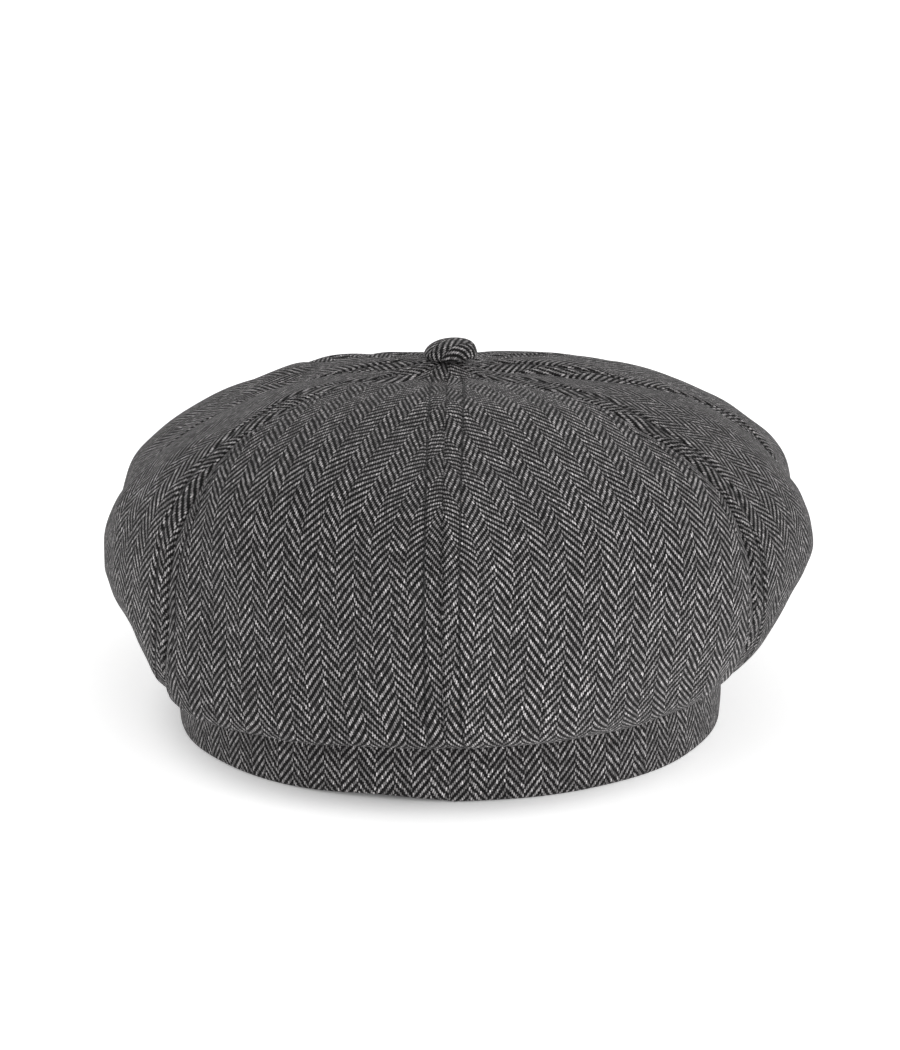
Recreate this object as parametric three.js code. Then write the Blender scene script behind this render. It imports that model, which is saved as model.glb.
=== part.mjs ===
// Eight-panel newsboy cap in herringbone tweed, lying on its headband.
// Millimetres, +Z up. The visor points along +Y, the centre-back seam is on -Y.
// Angles run round the cap from the centre back (0) over the wearer's right (90) to the front (180).

import * as THREE from 'three';

// ---------------------------------------------------------------- driving dimensions

const CLEARANCE = 0.3; // gap between neighbouring pieces

// Headband: an oval ring that a head of about 59 cm fills.
const BAND_HALF_LENGTH = 105;
const BAND_HALF_WIDTH = 89.5;
const BAND_HEIGHT = 18;
const BAND_THICKNESS = 2.0;
const FRONT_LIFT = 12; // how far the visor holds the front of the band off the table
const LIFT_STARTS_AT = 95; // degrees from the centre back

// Crown: how far it reaches from its button axis at each seam, back to front.
const CROWN_REACH = [122, 126, 112, 128, 131];
const CROWN_SHOULDER = [2.1, 2.55, 2.35, 2.25, 2.2]; // how square the profile is at each seam
const CROWN_WIDEST_HEIGHT = [48, 54, 57, 53, 48];
const CROWN_HANG = [0.5, 0.65, 0.3, 0.3, 0.3]; // how straight the cloth hangs below the widest ring
const CROWN_TUCK = [0.45, 0.5, 0.1, 0.15, 0.15]; // how flat it runs back in to the band
const CROWN_TOP = 115;
const CROWN_AXIS_FORWARD = 10; // the button sits this far in front of the band's centre
const CROWN_FORWARD_SLOPE = 0.08; // the top falls towards the visor
const CROWN_PUFF = 3.5; // how far a panel swells between its seams
const CROWN_CLOTH = 1.4;
const APEX_HOLE_RADIUS = 3;

const PANELS = 8;
const PANEL_ANGLE = 360 / PANELS;

// Visor: a board between two tweed covers, sewn along the front of the band.
const VISOR_HALF_ANGLE = 60;
const VISOR_DEPTH = 55;
const VISOR_END_DEPTH = 3;
const VISOR_ARCH = 3.5; // how high the middle of the free edge stands off the table
const VISOR_TOUCHES_AT = 0.6; // where the free edge meets the table, from middle (0) to end (1)
const COVER_CLOTH = 1.1;
const BOARD_THICKNESS = 1.5;

// Inside of the band, from the tweed inwards.
const INTERFACING_THICKNESS = 0.7;
const SWEATBAND_THICKNESS = 1.0;
const SWEATBAND_HEIGHT = 30;
const TAPE_WIDTH = 14;
const TAPE_THICKNESS = 0.5;

// Lining: eight gores that hang inside the crown.
const LINING_CLOTH = 0.6;
const LINING_DEPTH = 5.5; // below the crown's outer face
const LINING_RIM_DEPTH = 2.4; // the same, where it is sewn in above the band

// Covered button.
const BUTTON_RADIUS = 8.4;
const BUTTON_HEIGHT = 6.0;
const BUTTON_CLOTH = 1.0;
const SHELL_THICKNESS = 0.5;
const SHANK_RADIUS = 1.2;
const WASHER_RADIUS = 7;
const WASHER_THICKNESS = 0.7;

const COLOURS = {
  tweed: 0x57565a,
  lining: 0x26262a,
  leather: 0x2b2724,
  board: 0x1d1d1f,
  metal: 0x9a9c9f,
  interfacing: 0xd8d6cf,
  label: 0xb9b6ae,
};

// ---------------------------------------------------------------- shape of the cap

const radians = THREE.MathUtils.degToRad;
const mix = THREE.MathUtils.lerp;
const smooth = (value) => THREE.MathUtils.smoothstep(value, 0, 1);

// A smooth, left-right symmetric curve through one value per seam, back to front.
function aroundSeams(values) {
  const last = values.length - 1;
  const halved = values.map((value, i) => (i === 0 || i === last ? value / 2 : value));
  const waves = values.map((_, k) => {
    const sum = halved.reduce((total, value, i) => total + value * Math.cos((k * i * Math.PI) / last), 0);
    return (sum * (k === 0 || k === last ? 1 : 2)) / last;
  });
  return (angle) => waves.reduce((total, wave, k) => total + wave * Math.cos(k * radians(angle)), 0);
}

const crownReach = aroundSeams(CROWN_REACH);
const crownShoulder = aroundSeams(CROWN_SHOULDER);
const widestHeight = aroundSeams(CROWN_WIDEST_HEIGHT);
const crownHang = aroundSeams(CROWN_HANG);
const crownTuck = aroundSeams(CROWN_TUCK);

function bandLift(angle) {
  const turn = Math.abs(((angle + 540) % 360) - 180);
  return FRONT_LIFT * smooth((turn - LIFT_STARTS_AT) / (170 - LIFT_STARTS_AT));
}

// Distance from the band's centre to its oval outline.
function bandRadius(angle, inset = 0) {
  const along = Math.cos(radians(angle)) / (BAND_HALF_LENGTH - inset);
  const across = Math.sin(radians(angle)) / (BAND_HALF_WIDTH - inset);
  return 1 / Math.hypot(along, across);
}

function pointAt(angle, radius, height, forward = 0) {
  const turn = radians(angle);
  return new THREE.Vector3(radius * Math.sin(turn), forward - radius * Math.cos(turn), height);
}

// Outer profile of the crown at one angle: t = 0 at the button, 1 at the widest ring, 2 at the band.
function crownProfile(angle, t) {
  const square = 2 / crownShoulder(angle);
  const reach = crownReach(angle);
  const widest = widestHeight(angle);
  if (t <= 1) {
    const turn = (t * Math.PI) / 2;
    return {
      radius: reach * Math.sin(turn) ** square,
      height: widest + (CROWN_TOP - widest) * Math.cos(turn) ** square,
    };
  }
  const rimRadius = bandRadius(angle);
  const rimHeight = bandLift(angle) + BAND_HEIGHT + CLEARANCE;
  const curve = new THREE.CubicBezierCurve(
    new THREE.Vector2(reach, widest),
    new THREE.Vector2(reach, mix(widest, rimHeight, crownHang(angle))),
    new THREE.Vector2(mix(rimRadius, reach, crownTuck(angle)), rimHeight + 1.5),
    new THREE.Vector2(rimRadius, rimHeight),
  );
  const point = curve.getPoint(Math.min(t - 1, 1));
  return { radius: point.x, height: point.y };
}

// A point at a given depth below the crown's outer face, with each panel swelling between its seams.
function crownPoint(angle, t, depth) {
  const step = 0.004;
  const here = crownProfile(angle, t);
  const before = crownProfile(angle, Math.max(t - step, 0));
  const after = crownProfile(angle, Math.min(t + step, 2));
  const run = after.radius - before.radius;
  const fall = before.height - after.height;
  const length = Math.hypot(run, fall);
  const swell = Math.sin((Math.PI * (((angle % PANEL_ANGLE) + PANEL_ANGLE) % PANEL_ANGLE)) / PANEL_ANGLE);
  const envelope = t < 1 ? Math.sin((t * Math.PI) / 2) : Math.cos(((t - 1) * Math.PI) / 2) ** 0.7;
  const radius = here.radius + CROWN_PUFF * swell * envelope - (depth * fall) / length;
  const forward = CROWN_AXIS_FORWARD * (1 - THREE.MathUtils.clamp(t - 1, 0, 1));
  const slope = CROWN_FORWARD_SLOPE * THREE.MathUtils.clamp(2 - 1.2 * t, 0, 1);
  const lean = slope * radius * Math.cos(radians(angle));
  return pointAt(angle, Math.max(radius, 0.5), here.height - (depth * run) / length + lean, forward);
}

// The t at which the profile is a given distance from the button axis.
function startOf(angle, radius) {
  const part = radius / crownReach(angle);
  return (Math.asin(part ** (crownShoulder(angle) / 2)) * 2) / Math.PI;
}

// ---------------------------------------------------------------- solid builders

const meshes = [];

function addMesh(name, geometry, colour) {
  const material = new THREE.MeshStandardMaterial({ color: colour, roughness: 0.9 });
  const mesh = new THREE.Mesh(geometry, material);
  mesh.name = name;
  meshes.push(mesh);
}

// A sheet of cloth or board with an outer and an inner face, closed all round its edge.
// Each face is a function of across and along, both from 0 to 1.
function addSheet(name, colour, outer, inner, across, along) {
  const positions = [];
  const row = across + 1;
  const layer = row * (along + 1);
  for (const face of [outer, inner]) {
    for (let j = 0; j <= along; j += 1) {
      for (let i = 0; i <= across; i += 1) {
        positions.push(...face(i / across, j / along).toArray());
      }
    }
  }
  const index = [];
  const quad = (a, b, c, d) => index.push(a, b, c, a, c, d);
  for (let j = 0; j < along; j += 1) {
    for (let i = 0; i < across; i += 1) {
      const a = j * row + i;
      quad(a, a + 1, a + 1 + row, a + row);
      quad(layer + a, layer + a + row, layer + a + 1 + row, layer + a + 1);
    }
  }
  const last = along * row;
  for (let i = 0; i < across; i += 1) {
    quad(i, layer + i, layer + i + 1, i + 1);
    quad(last + i, last + i + 1, layer + last + i + 1, layer + last + i);
  }
  for (let j = 0; j < along; j += 1) {
    const left = j * row;
    const right = left + across;
    quad(left, left + row, layer + left + row, layer + left);
    quad(right, layer + right, layer + right + row, right + row);
  }
  faceOutwards(positions, index);
  const geometry = new THREE.BufferGeometry();
  geometry.setAttribute('position', new THREE.Float32BufferAttribute(positions, 3));
  geometry.setIndex(index);
  geometry.computeVertexNormals();
  addMesh(name, geometry, colour);
}

// Turns every triangle round if the solid's signed volume is negative.
function faceOutwards(positions, index) {
  const corner = (i) => new THREE.Vector3().fromArray(positions, index[i] * 3);
  let volume = 0;
  for (let i = 0; i < index.length; i += 3) {
    volume += corner(i).dot(corner(i + 1).cross(corner(i + 2)));
  }
  if (volume < 0) index.reverse();
}

// A turned piece on the button axis, from a closed profile of [radius, height] points.
function addTurned(name, colour, profile) {
  const outline = [...profile, profile[0]].map(([radius, height]) => new THREE.Vector2(radius, height));
  const geometry = new THREE.LatheGeometry(outline, 20);
  geometry.rotateX(Math.PI / 2);
  geometry.translate(0, CROWN_AXIS_FORWARD, 0);
  addMesh(name, geometry, colour);
}

// ---------------------------------------------------------------- crown and lining

const GORE_NAMES = [
  'back_right', 'rear_side_right', 'front_side_right', 'front_right',
  'front_left', 'front_side_left', 'rear_side_left', 'back_left',
];

// outerDepth is the depth of a gore's outer face at any t.
function addGores(prefix, colour, { outerDepth, cloth, hole, across, along }) {
  GORE_NAMES.forEach((place, number) => {
    const face = (below) => (u, v) => {
      const middle = (number + u) * PANEL_ANGLE;
      const t = mix(startOf(middle, hole), 2, v);
      const trim = THREE.MathUtils.radToDeg(CLEARANCE / 2 / crownProfile(middle, t).radius);
      return crownPoint(middle + trim * (1 - 2 * u), t, outerDepth(t) + below);
    };
    addSheet(`${prefix}_${place}`, colour, face(0), face(cloth), across, along);
  });
}

const liningDepth = (t) => mix(LINING_DEPTH, LINING_RIM_DEPTH, smooth(t - 1));

addGores('crown_panel', COLOURS.tweed, {
  outerDepth: () => 0,
  cloth: CROWN_CLOTH,
  hole: APEX_HOLE_RADIUS,
  across: 6,
  along: 12,
});

addGores('lining_panel', COLOURS.lining, {
  outerDepth: liningDepth,
  cloth: LINING_CLOTH,
  hole: 2,
  across: 4,
  along: 12,
});

// ---------------------------------------------------------------- band and what it holds

// A ring that is open at the centre back, where its two ends meet in the seam.
function addRing(name, colour, { inset, thickness, bottom, height }) {
  const endAngle = THREE.MathUtils.radToDeg(0.2 / BAND_HALF_LENGTH);
  const face = (depth) => (u, v) => {
    const angle = mix(endAngle, 360 - endAngle, u);
    const level = bandLift(angle) + bottom + v * height;
    return pointAt(angle, bandRadius(angle, inset + depth), level);
  };
  addSheet(name, colour, face(0), face(thickness), 48, 1);
}

const interfacingInset = BAND_THICKNESS + CLEARANCE;
const sweatbandInset = interfacingInset + INTERFACING_THICKNESS + CLEARANCE + 0.2;

addRing('headband', COLOURS.tweed, {
  inset: 0,
  thickness: BAND_THICKNESS,
  bottom: 0,
  height: BAND_HEIGHT,
});
addRing('headband_interfacing', COLOURS.interfacing, {
  inset: interfacingInset,
  thickness: INTERFACING_THICKNESS,
  bottom: 1,
  height: BAND_HEIGHT - 2,
});
addRing('sweatband', COLOURS.leather, {
  inset: sweatbandInset,
  thickness: SWEATBAND_THICKNESS,
  bottom: 0.6,
  height: SWEATBAND_HEIGHT,
});

// A flat patch on the inner face of the sweatband, centred on an angle.
function addPatch(name, colour, { angle, width, bottom, height, thickness }) {
  const inset = sweatbandInset + SWEATBAND_THICKNESS + CLEARANCE;
  const halfAngle = THREE.MathUtils.radToDeg(width / 2 / bandRadius(angle, inset));
  const face = (depth) => (u, v) => {
    const place = angle + mix(-halfAngle, halfAngle, u);
    return pointAt(place, bandRadius(place, inset + depth), bottom + v * height);
  };
  addSheet(name, colour, face(0), face(thickness), 2, 1);
}

addPatch('sweatband_joining_tape', COLOURS.lining, {
  angle: 0,
  width: TAPE_WIDTH,
  bottom: 2,
  height: SWEATBAND_HEIGHT - 3,
  thickness: TAPE_THICKNESS,
});
addPatch('size_tab', COLOURS.label, {
  angle: 14,
  width: 13,
  bottom: 14,
  height: 20,
  thickness: 0.4,
});

// A woven label on the lining, just below the button on the inside.
const labelFace = (depth) => (u, v) => {
  const t = mix(0.36, 0.56, v);
  return crownPoint(mix(3, 42, u), t, liningDepth(t) + LINING_CLOTH + 1.8 + depth);
};
addSheet('maker_label_blank', COLOURS.label, labelFace(0), labelFace(0.4), 4, 2);

// ---------------------------------------------------------------- visor

const visorThickness = 2 * COVER_CLOTH + BOARD_THICKNESS + 2 * CLEARANCE;

// side runs from -1 to 1 along the band, out from 0 at the band to 1 at the free edge.
function visorPoint(side, out, level, border) {
  const angle = 180 - side * (VISOR_HALF_ANGLE - border / 2);
  const root = pointAt(angle, bandRadius(angle, -CLEARANCE - 0.2 - border), 0);
  const outward = pointAt(angle, 1, 0).lerp(new THREE.Vector3(0, 1, 0), 0.6).normalize();
  const depth = mix(VISOR_END_DEPTH, VISOR_DEPTH, (1 - side * side) ** 0.75) - 2 * border;
  const far = Math.abs(side);
  const arch = VISOR_ARCH * (1 - (far / VISOR_TOUCHES_AT) ** 2) ** 2;
  const rise = bandLift(angle) * ((far - VISOR_TOUCHES_AT) / (1 - VISOR_TOUCHES_AT)) ** 2;
  const freeEdge = far < VISOR_TOUCHES_AT ? arch : rise;
  const point = root.addScaledVector(outward, depth * out);
  point.z = mix(bandLift(angle), freeEdge, out) + level;
  return point;
}

function addVisorLayer(name, colour, { bottom, thickness, border }) {
  const face = (level) => (u, v) => visorPoint(2 * u - 1, v, level, border);
  addSheet(name, colour, face(bottom + thickness), face(bottom), 16, 4);
}

addVisorLayer('visor_under_cover', COLOURS.tweed, { bottom: 0, thickness: COVER_CLOTH, border: 0 });
addVisorLayer('visor_board', COLOURS.board, {
  bottom: COVER_CLOTH + CLEARANCE,
  thickness: BOARD_THICKNESS,
  border: 0.4,
});
addVisorLayer('visor_top_cover', COLOURS.tweed, {
  bottom: visorThickness - COVER_CLOTH,
  thickness: COVER_CLOTH,
  border: 0,
});

// ---------------------------------------------------------------- covered button

// Profile of a domed cap, open underneath, as [radius, height] points.
function domeProfile(radius, bottom, height, thickness) {
  const outer = [];
  const inner = [];
  const steps = 6;
  for (let i = 0; i <= steps; i += 1) {
    const turn = (i / steps) * (Math.PI / 2);
    const across = Math.cos(turn) ** 0.7;
    const up = Math.sin(turn) ** 0.9;
    outer.push([radius * across, bottom + height * up]);
    inner.unshift([(radius - thickness) * across, bottom + (height - thickness) * up]);
  }
  outer[steps][0] = 0;
  inner[0][0] = 0;
  return [...outer, ...inner];
}

const buttonBottom = CROWN_TOP + 1;
const shellRadius = BUTTON_RADIUS - BUTTON_CLOTH - CLEARANCE;
const shellHeight = BUTTON_HEIGHT - BUTTON_CLOTH - CLEARANCE;
const plateRadius = shellRadius - SHELL_THICKNESS - CLEARANCE;
const washerTop = CROWN_TOP - CROWN_CLOTH - 2.2;
const washerBottom = washerTop - WASHER_THICKNESS;

addTurned('button_cover', COLOURS.tweed, domeProfile(BUTTON_RADIUS, buttonBottom, BUTTON_HEIGHT, BUTTON_CLOTH));
addTurned('button_shell', COLOURS.metal, domeProfile(shellRadius, buttonBottom, shellHeight, SHELL_THICKNESS));
addTurned('button_back_plate', COLOURS.metal, [
  [0, buttonBottom + 1],
  [plateRadius, buttonBottom + 1],
  [plateRadius, buttonBottom + 0.3],
  [SHANK_RADIUS, buttonBottom + 0.3],
  [SHANK_RADIUS, washerBottom - CLEARANCE],
  [2 * SHANK_RADIUS, washerBottom - CLEARANCE],
  [2 * SHANK_RADIUS, washerBottom - 2 * CLEARANCE],
  [0, washerBottom - 2 * CLEARANCE],
].reverse());
addTurned('button_washer', COLOURS.metal, [
  [SHANK_RADIUS + CLEARANCE, washerTop],
  [WASHER_RADIUS, washerTop],
  [WASHER_RADIUS, washerBottom],
  [SHANK_RADIUS + CLEARANCE, washerBottom],
].reverse());

// ---------------------------------------------------------------- assembly

// The origin is the middle of the cap's footprint, on the table.
const cap = new THREE.Group();
cap.name = 'newsboy_cap';
meshes.forEach((mesh) => cap.add(mesh));
const box = new THREE.Box3().setFromObject(cap);
const centre = box.getCenter(new THREE.Vector3());
meshes.forEach((mesh) => mesh.geometry.translate(-centre.x, -centre.y, -box.min.z));

export default cap;
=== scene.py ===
"""Looks of an eight-panel newsboy cap in herringbone tweed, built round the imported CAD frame.

The visor points along +Y and the centre-back seam is on -Y. Angles run round the cap in degrees, from the
centre back (0) over the wearer's right (90) to the front (180). Shapes are worked out in millimetres and
scaled to metres when they become meshes.
"""

import math
from functools import partialmethod

import bpy
import numpy as np
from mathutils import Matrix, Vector


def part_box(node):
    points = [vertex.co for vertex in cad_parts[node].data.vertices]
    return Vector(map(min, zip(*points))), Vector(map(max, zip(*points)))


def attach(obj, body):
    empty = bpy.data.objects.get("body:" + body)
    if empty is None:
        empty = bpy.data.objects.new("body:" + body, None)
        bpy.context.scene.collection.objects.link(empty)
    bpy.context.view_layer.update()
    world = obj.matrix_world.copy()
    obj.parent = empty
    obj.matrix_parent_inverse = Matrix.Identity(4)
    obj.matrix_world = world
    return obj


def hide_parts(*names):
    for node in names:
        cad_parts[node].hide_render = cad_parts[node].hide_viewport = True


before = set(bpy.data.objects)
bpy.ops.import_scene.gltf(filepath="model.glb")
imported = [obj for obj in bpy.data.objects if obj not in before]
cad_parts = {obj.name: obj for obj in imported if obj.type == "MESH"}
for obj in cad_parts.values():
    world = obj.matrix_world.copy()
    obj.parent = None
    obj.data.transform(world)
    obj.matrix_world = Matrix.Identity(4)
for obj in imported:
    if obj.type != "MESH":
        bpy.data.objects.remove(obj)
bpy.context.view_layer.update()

# -------------------- driving dimensions, in millimetres

MM = 0.001
BODY = "root"


def box_mm(node):
    """Lowest and highest corner of a CAD node, in millimetres."""
    low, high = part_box(node)
    return np.array(low) / MM, np.array(high) / MM


band_low, band_high = box_mm("headband")
button_low, button_high = box_mm("button_cover")
sweat_low, sweat_high = box_mm("sweatband")

BAND_CENTRE_Y = (band_low[1] + band_high[1]) / 2
BAND_HALF_LENGTH = (band_high[1] - band_low[1]) / 2
BAND_HALF_WIDTH = (band_high[0] - band_low[0]) / 2
BAND_HEIGHT = 18.0
BAND_THICKNESS = 2.0
BAND_BELLY = 0.5  # how far the band swells between its edges
BAND_GAP = 0.12  # from the centre back to each of its ends
BAND_TOP_GAP = 0.3  # below the height that the crown starts at
BAND_BULGE = [0, 1, 0, 0, 0, 0, 0, 2.5]  # one value per seam
BAND_LIFTED_AT = 348.0  # the lower edge stands a little off the table here
BAND_LIFTED_BY = 1.8
BAND_LIFTED_WIDTH = 10.0  # degrees
BAND_COLUMNS = 720
BAND_ROWS = 18
FRONT_LIFT = band_high[2] - BAND_HEIGHT
LIFT_STARTS_AT = 95.0  # degrees from the centre back, on both sides
LIFT_ENDS_AT = 170.0

# One value per seam, anticlockwise from the centre back. The cap is soft, so its two sides differ a little.
CROWN_REACH = [123, 128, 114, 129, 131, 129, 110, 124.5]
CROWN_SHOULDER = [2.15, 2.1, 2.3, 2.4, 2.2, 2.2, 2.0, 2.4]
CROWN_WIDEST_HEIGHT = [48.5, 57.5, 62.5, 58, 47, 52, 50.5, 53.5]
CROWN_HANG = [0.85, 0.35, 0.35, 0.3, 0.25, 0.45, -0.1, 0.8]
CROWN_TUCK = [1.0, 0.35, 0.0, 0.2, 0.1, 0.25, -0.3, 0.7]
CROWN_LIP = [4, 6, 3, 3, 3, 3, 3, 5]
SEAM_SPREAD = [-1, 4.5, 1.5, -4.5, 1, 2.5, 1.5, -0.5]  # degrees that a seam stands off at the shoulder
RIM_SPREAD = [0, 11, 5, 0, 0, 0, -5, -11]  # the same where it meets the band
CROWN_TOP = button_low[2] - 1.5
CROWN_AXIS_FORWARD = (button_low[1] + button_high[1]) / 2 - BAND_CENTRE_Y
CROWN_FORWARD_SLOPE = 0.092
CROWN_SIDE_SLOPE = -0.008
CROWN_LEAN_FADES = (0.5, 1.7)  # the rings between which the slopes die away
CROWN_SHIFT = -0.8
CROWN_PUFF = 3.5
CROWN_CLOTH = 1.4
APEX_HOLE = 2.5
SEAM_PILE = 3.0  # the seam allowances meet in a low mound under the button
SEAM_PILE_RADIUS = 13.0
RIM_TUCK = 0.4  # how far the crown's lower edge turns in over the band
RIM_CALM = 25.0  # the cloth is smoother within this distance of the band
DRAPE_DEPTH = 0.9  # broad unevenness of the cloth
DENT_DEPTH = 0.22  # and finer
WAVE_COUNT = 9  # how many plane waves make up such unevenness

PANELS = 8
PANEL_ANGLE = 360 / PANELS
PANEL_NAMES = [
    "back_right", "rear_side_right", "front_side_right", "front_right",
    "front_left", "front_side_left", "rear_side_left", "back_left",
]
PANEL_PAINTED_NAP_SHADE = [0.06, -0.12, 0.03, -0.04, 0.05, -0.03, -0.05, -0.14]  # how much lighter a panel is painted: painted shade for how the light catches its nap
PANEL_COLUMNS = 96
PANEL_ROWS = 150

# Seams and their topstitching.
SEAM_DEPTH = [0.8, 1.1, 1.2, 1.2, 1.0, 1.2, 1.2, 1.1]
SEAM_WIDTH = 7.0
SEAM_CURL_NEEDS = 20.0  # a panel narrower than this curls less at its seams
SEAM_GROOVE = 0.6
SEAM_GROOVE_WIDTH = 0.8
SEAM_REACH = 10.0  # the cloth's material knows of a seam this far off
SEAM_FADES = (6, 22)  # widths of a panel between which the painted shade at its seams fades in
STITCH_OFFSET = 5.4
STITCH_GROOVE = 0.55
STITCH_GROOVE_WIDTH = 0.75
STITCH_FADES = (11, 15)  # widths of a panel between which its stitched lines deepen
STITCHED_WIDTH = 13  # a panel is stitched where it is wider than this
STITCH_LENGTH = 2.5
STITCH_PITCH = 3.1
STITCH_RADIUS = 0.19

# Herringbone: 2/2 twill that turns round every ten ends.
END_PITCH = 0.55
PICK_PITCH = 0.73
ENDS_PER_COLUMN = 10
COLUMN = END_PITCH * ENDS_PER_COLUMN
REPEAT_ACROSS = 2 * COLUMN
BACK_SEAM_CUT = 4.7  # how far the centre-back seam cuts into the columns of the crown
BACK_EASES = (0.95, 1.8)  # over these rings the cloth is eased out, so that whole columns meet the band
BACK_EASED_WIDTH = 82.0
HANGS_BETWEEN = (0.6, 1.0)  # over these rings the grain stops following the panel and hangs straight
HANGS_FROM = 0.8  # the ring where the two are laid to agree
PANEL_REPEATS = 14  # each panel is cut this many repeats further across the cloth
BAND_STRETCH = BACK_EASED_WIDTH / (BACK_EASED_WIDTH - BACK_SEAM_CUT)


# -------------------- small numeric helpers


def mix(a, b, part):
    return a + (b - a) * part


def smooth(value):
    value = np.clip(value, 0, 1)
    return value * value * (3 - 2 * value)


def ramp(value, low, high):
    """0 below low, 1 above high, and a soft step between."""
    return smooth((value - low) / (high - low))


def cubic(part, start, after, before, end):
    """A Bezier curve of four control values."""
    rest = 1 - part
    return rest**3 * start + 3 * rest**2 * part * after + 3 * rest * part**2 * before + part**3 * end


def unit(vectors):
    return vectors / np.maximum(np.linalg.norm(vectors, axis=-1, keepdims=True), 1e-9)


def stack(x, y, z):
    return np.stack(np.broadcast_arrays(x, y, z), axis=-1).astype(float)


def around_seams(values, angle):
    """A smooth closed curve through one value per seam."""
    waves = np.fft.rfft(values) / PANELS
    turn = np.radians(angle)
    total = waves[0].real + (waves[PANELS // 2] * np.exp(1j * PANELS / 2 * turn)).real
    for k in range(1, PANELS // 2):
        total = total + 2 * (waves[k] * np.exp(1j * k * turn)).real
    return total


def soft_waves(points, seed, shortest, longest):
    """Gentle unevenness between -1 and 1: a few plane waves in fixed random directions."""
    rng = np.random.default_rng(seed)
    total = np.zeros(points.shape[:-1])
    for _ in range(WAVE_COUNT):
        direction = unit(rng.normal(size=3))
        length = rng.uniform(shortest, longest)
        total += np.sin(points @ direction * 2 * math.pi / length + rng.uniform(0, 2 * math.pi))
    return total / math.sqrt(WAVE_COUNT)


def normals_of(points):
    """Outward normals of a grid whose rows go up and whose columns go anticlockwise."""
    return unit(np.cross(np.gradient(points, axis=1), np.gradient(points, axis=0)))


def lengths_along(points, axis):
    """Distance from the first point, measured along an axis of the grid."""
    steps = np.linalg.norm(np.diff(points, axis=axis), axis=-1)
    start = np.zeros_like(np.take(steps, [0], axis=axis))
    return np.concatenate([start, np.cumsum(steps, axis=axis)], axis=axis)


# -------------------- shape of the cap


def band_lift(angle):
    turn = np.abs((angle + 540) % 360 - 180)
    return FRONT_LIFT * ramp(turn, LIFT_STARTS_AT, LIFT_ENDS_AT)


def band_radius(angle, inset=0.0):
    """Distance from the band's centre to its oval outline, which is worn a little out of true."""
    along = np.cos(np.radians(angle)) / (BAND_HALF_LENGTH - inset)
    across = np.sin(np.radians(angle)) / (BAND_HALF_WIDTH - inset)
    return 1 / np.hypot(along, across) + around_seams(BAND_BULGE, angle)


def band_point(angle, inset, level):
    """A point of the oval, inset from the band's outer face and level above its lower edge."""
    turn = np.radians(angle)
    radius = band_radius(angle, inset)
    x = radius * np.sin(turn)
    y = BAND_CENTRE_Y - radius * np.cos(turn)
    return stack(x, y, band_lift(angle) + level)


def crown_profile(angle, t, place, puff):
    """Radius and height of the crown: t is 0 at the button, 1 at the widest ring, 2 at the band."""
    square = 2 / around_seams(CROWN_SHOULDER, angle)
    reach = around_seams(CROWN_REACH, angle)
    widest = around_seams(CROWN_WIDEST_HEIGHT, angle)
    upper = np.clip(t, 0, 1) * math.pi / 2
    lower = np.clip(t - 1, 0, 1)
    dome_radius = reach * np.sin(upper) ** square
    dome_height = widest + (CROWN_TOP - widest) * np.maximum(np.cos(upper), 0) ** square
    rim_radius = band_radius(place, RIM_TUCK)
    rim_height = band_lift(place) + BAND_HEIGHT
    tucked = mix(rim_radius, reach, around_seams(CROWN_TUCK, angle))
    hanging = mix(widest, rim_height, around_seams(CROWN_HANG, angle))
    lip = rim_height + around_seams(CROWN_LIP, angle)
    wall_radius = cubic(lower, reach, reach, tucked, rim_radius)
    wall_height = cubic(lower, widest, hanging, lip, rim_height)
    swell = np.sin(math.pi * ((angle % PANEL_ANGLE) / PANEL_ANGLE))
    fade = np.where(t < 1, np.sin(upper), np.cos(lower * math.pi / 2) ** 0.7)
    radius = np.where(t <= 1, dome_radius, wall_radius) + puff * swell * fade
    return radius, np.where(t <= 1, dome_height, wall_height)


def crown_base(angle, t, puff=CROWN_PUFF):
    """Outer face of the crown before its seams and folds."""
    spread = around_seams(SEAM_SPREAD, angle) * np.sin(np.clip(t, 0, 2) * math.pi / 2)
    spread = spread + around_seams(RIM_SPREAD, angle) * smooth(t - 1)
    radius, height = crown_profile(angle, t, angle + spread, puff)
    place = np.radians(angle + spread)
    x = radius * np.sin(place) + CROWN_SHIFT * (1 - smooth(t / 2))
    y = BAND_CENTRE_Y + CROWN_AXIS_FORWARD * (1 - smooth(t - 1)) - radius * np.cos(place)
    leaning = CROWN_FORWARD_SLOPE * radius * np.cos(place) + CROWN_SIDE_SLOPE * radius * np.sin(place)
    piled = SEAM_PILE * np.exp(-((radius / SEAM_PILE_RADIUS) ** 2))
    return stack(x, y, height + piled + leaning * (1 - ramp(t, *CROWN_LEAN_FADES)))


def even_rows(angles, first_t, hole_radius, rows):
    """The t of each grid point from the rim to the hole at the top, rows dividing every column evenly."""
    part = hole_radius / around_seams(CROWN_REACH, angles)
    last_t = np.arcsin(part ** (around_seams(CROWN_SHOULDER, angles) / 2)) * 2 / math.pi
    fine = mix(first_t, last_t[None, :], np.linspace(0, 1, 600)[:, None])
    length = lengths_along(crown_base(angles[None, :], fine), 0)
    wanted = np.linspace(0, 1, rows)
    columns = [np.interp(wanted * length[-1, i], length[:, i], fine[:, i]) for i in range(len(angles))]
    return np.stack(columns, axis=1)


def seam_relief(distance, depth, width):
    """How far the cloth sinks near a seam: a soft curl, the seam's own groove and the stitched line."""
    curl = depth * (1 - smooth(distance / SEAM_WIDTH)) * smooth(width / SEAM_CURL_NEEDS)
    groove = SEAM_GROOVE * np.exp(-((distance / SEAM_GROOVE_WIDTH) ** 2))
    stitched = STITCH_GROOVE * np.exp(-(((distance - STITCH_OFFSET) / STITCH_GROOVE_WIDTH) ** 2))
    return curl + groove + stitched * ramp(width, *STITCH_FADES)


FOLD_REACH = 30.0  # no fold reaches much further round the crown
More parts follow.
